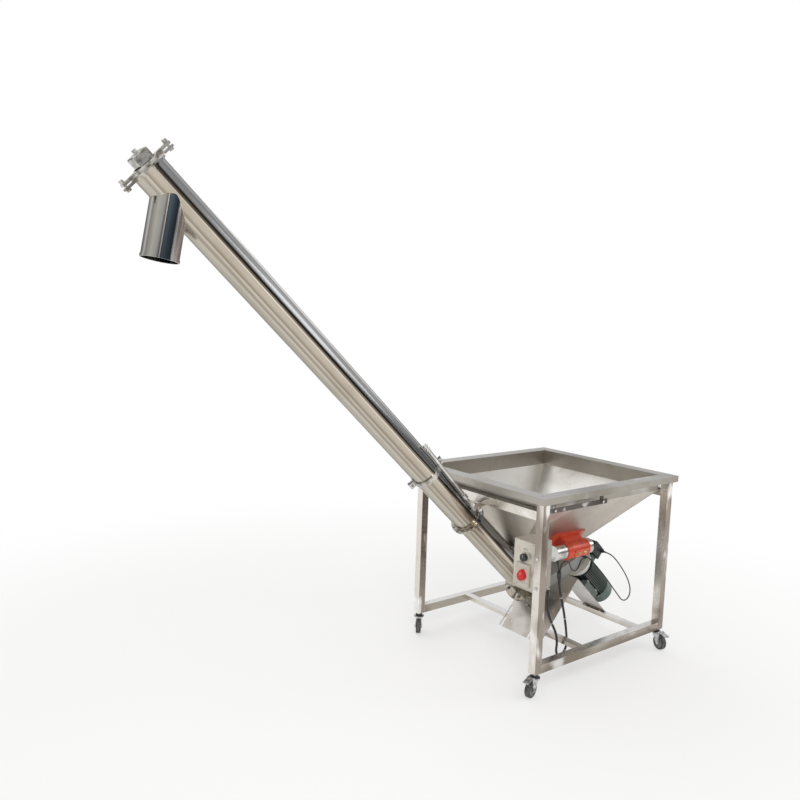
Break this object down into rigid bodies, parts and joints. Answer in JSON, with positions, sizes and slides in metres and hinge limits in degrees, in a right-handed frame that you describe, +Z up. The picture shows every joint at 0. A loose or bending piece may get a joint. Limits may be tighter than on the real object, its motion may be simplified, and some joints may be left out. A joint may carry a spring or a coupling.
{
  "type": "grain auger",
  "caption": "Inclined screw auger in a round tube, fed by a square hopper on a wheeled stainless frame with a motor, vibrator and control box.",
  "frame": {"origin": "bottom centre of the machine's bounding box without its free cables, on the floor", "axes": "+Z up; the auger climbs towards -X; the control side is -Y"},
  "size_m": [2.609, 0.9456, 2.2301],
  "materials": {
    "hopper_sheet": "satin stainless sheet",
    "frame_steel": "brushed stainless tube",
    "tube_steel": "polished stainless tube",
    "screw_steel": "mill finish",
    "fastener": "bright",
    "bearing_steel": "machined",
    "chain_steel": "oiled",
    "case_paint": "satin paint",
    "motor_paint": "semi-gloss paint",
    "cowl_paint": "satin paint",
    "gearhead_metal": "cast",
    "terminal_plastic": "moulded",
    "vibrator_paint": "gloss paint",
    "vibrator_cap": "cast",
    "box_steel": "satin",
    "switch_plastic": "moulded",
    "knob_black": "moulded",
    "knob_red": "moulded",
    "drive_plastic": "moulded",
    "zinc": "zinc plated",
    "tyre": "solid rubber",
    "cable": "matte"
  },
  "bodies": {
    "frame": {"leg_front_left": "frame_steel", "leg_rear_left": "frame_steel", "leg_front_right": "frame_steel", "leg_rear_right": "frame_steel", "bottom_rails": "frame_steel", "crossbeams": "frame_steel", "rail_rear": "frame_steel", "rail_front": "frame_steel", "hopper": "hopper_sheet", "side_bar": "frame_steel", "inlet_tube": "tube_steel", "upper_tube": "tube_steel", "spout": "tube_steel", "tube_clamp": "tube_steel", "stay_rod": "tube_steel", "head_cover": "tube_steel", "head_bearing": "bearing_steel", "head_yoke": "tube_steel", "yoke_bolts": "fastener", "drive_chain": "chain_steel", "chain_case": "case_paint", "foot_cover": "tube_steel", "foot_bearing": "bearing_steel", "tie_rods": "fastener", "motor_plate": "frame_steel", "motor_base": "frame_steel", "gearhead": "gearhead_metal", "motor_body": "motor_paint", "fan_cowl": "cowl_paint", "terminal_box": "terminal_plastic", "vibrator_body": "vibrator_paint", "vibrator_caps": "vibrator_cap", "control_box": "box_steel", "control_panel": "box_steel", "speed_drive": "drive_plastic", "switch_plate": "switch_plastic", "caster_stems": "zinc", "conduit": "cable", "motor_cable": "cable", "vibrator_cable": "cable", "cable_clips": "cable", "hex_bolts": "fastener"},
    "screw_body": {"screw": "screw_steel", "screw_sprocket": "bearing_steel"},
    "drive_shaft": {"output_shaft": "bearing_steel", "drive_sprocket": "bearing_steel"},
    "rotor": {"motor_rotor": "bearing_steel"},
    "vibrator_shaft": {"vibrator_rotor": "bearing_steel"},
    "speed_dial": {"speed_knob": "knob_black"},
    "isolator": {"isolator_knob": "knob_red"},
    "swivel_front_left": {"fork_front_left": "zinc"},
    "roller_front_left": {"wheel_front_left": "tyre"},
    "brake_front_left": {"pedal_front_left": "zinc"},
    "swivel_rear_left": {"fork_rear_left": "zinc"},
    "roller_rear_left": {"wheel_rear_left": "tyre"},
    "brake_rear_left": {"pedal_rear_left": "zinc"},
    "swivel_front_right": {"fork_front_right": "zinc"},
    "roller_front_right": {"wheel_front_right": "tyre"},
    "swivel_rear_right": {"fork_rear_right": "zinc"},
    "roller_rear_right": {"wheel_rear_right": "tyre"}
  },
  "joints": [
    {"name": "screw_turn", "type": "hinge", "parent": "frame", "child": "screw_body", "pos_m": [0.81398, 0.02234, 0.231], "axis": [-0.729, 0, 0.6845], "continuous": true},
    {"name": "drive_turn", "type": "hinge", "parent": "frame", "child": "drive_shaft", "pos_m": [0.97209, -0.11101, 0.39937], "axis": [-0.729, 0, 0.6845], "continuous": true},
    {"name": "motor_turn", "type": "hinge", "parent": "frame", "child": "rotor", "pos_m": [0.97209, -0.11101, 0.39937], "axis": [-0.729, 0, 0.6845], "continuous": true},
    {"name": "vibrator_turn", "type": "hinge", "parent": "frame", "child": "vibrator_shaft", "pos_m": [0.77698, -0.21866, 0.552], "axis": [1, 0, 0], "continuous": true},
    {"name": "speed_dial_turn", "type": "hinge", "parent": "frame", "child": "speed_dial", "pos_m": [0.34148, -0.31766, 0.614], "axis": [-1, 0, 0], "range_deg": [-135, 135]},
    {"name": "isolator_turn", "type": "hinge", "parent": "frame", "child": "isolator", "pos_m": [0.34148, -0.31766, 0.532], "axis": [-1, 0, 0], "range_deg": [0, 90]},
    {"name": "swivel_front_left_turn", "type": "hinge", "parent": "frame", "child": "swivel_front_left", "pos_m": [0.36148, -0.39016, 0.078], "axis": [0, 0, 1], "continuous": true},
    {"name": "roller_front_left_turn", "type": "hinge", "parent": "swivel_front_left", "child": "roller_front_left", "pos_m": [0.3325, -0.39793, 0.0375], "axis": [0.2588, -0.9659, 0], "continuous": true},
    {"name": "brake_front_left_press", "type": "hinge", "parent": "swivel_front_left", "child": "brake_front_left", "pos_m": [0.32864, -0.39896, 0.088], "axis": [0.2588, -0.9659, 0], "range_deg": [0, 12]},
    {"name": "swivel_rear_left_turn", "type": "hinge", "parent": "frame", "child": "swivel_rear_left", "pos_m": [1.26648, -0.39016, 0.078], "axis": [0, 0, 1], "continuous": true},
    {"name": "roller_rear_left_turn", "type": "hinge", "parent": "swivel_rear_left", "child": "roller_rear_left", "pos_m": [1.25872, -0.41914, 0.0375], "axis": [0.9659, -0.2588, 0], "continuous": true},
    {"name": "brake_rear_left_press", "type": "hinge", "parent": "swivel_rear_left", "child": "brake_rear_left", "pos_m": [1.25768, -0.423, 0.088], "axis": [0.9659, -0.2588, 0], "range_deg": [0, 12]},
    {"name": "swivel_front_right_turn", "type": "hinge", "parent": "frame", "child": "swivel_front_right", "pos_m": [0.36148, 0.43484, 0.078], "axis": [0, 0, 1], "continuous": true},
    {"name": "roller_front_right_turn", "type": "hinge", "parent": "swivel_front_right", "child": "roller_front_right", "pos_m": [0.3418, 0.4122, 0.0375], "axis": [0.7547, -0.6561, 0], "continuous": true},
    {"name": "swivel_rear_right_turn", "type": "hinge", "parent": "frame", "child": "swivel_rear_right", "pos_m": [1.26648, 0.43484, 0.078], "axis": [0, 0, 1], "continuous": true},
    {"name": "roller_rear_right_turn", "type": "hinge", "parent": "swivel_rear_right", "child": "roller_rear_right", "pos_m": [1.23829, 0.4451, 0.0375], "axis": [-0.342, -0.9397, 0], "continuous": true}
  ],
  "couplings": [
    {"joint": "drive_turn", "follows": "screw_turn", "ratio": 1},
    {"joint": "motor_turn", "follows": "screw_turn", "ratio": 5}
  ]
}
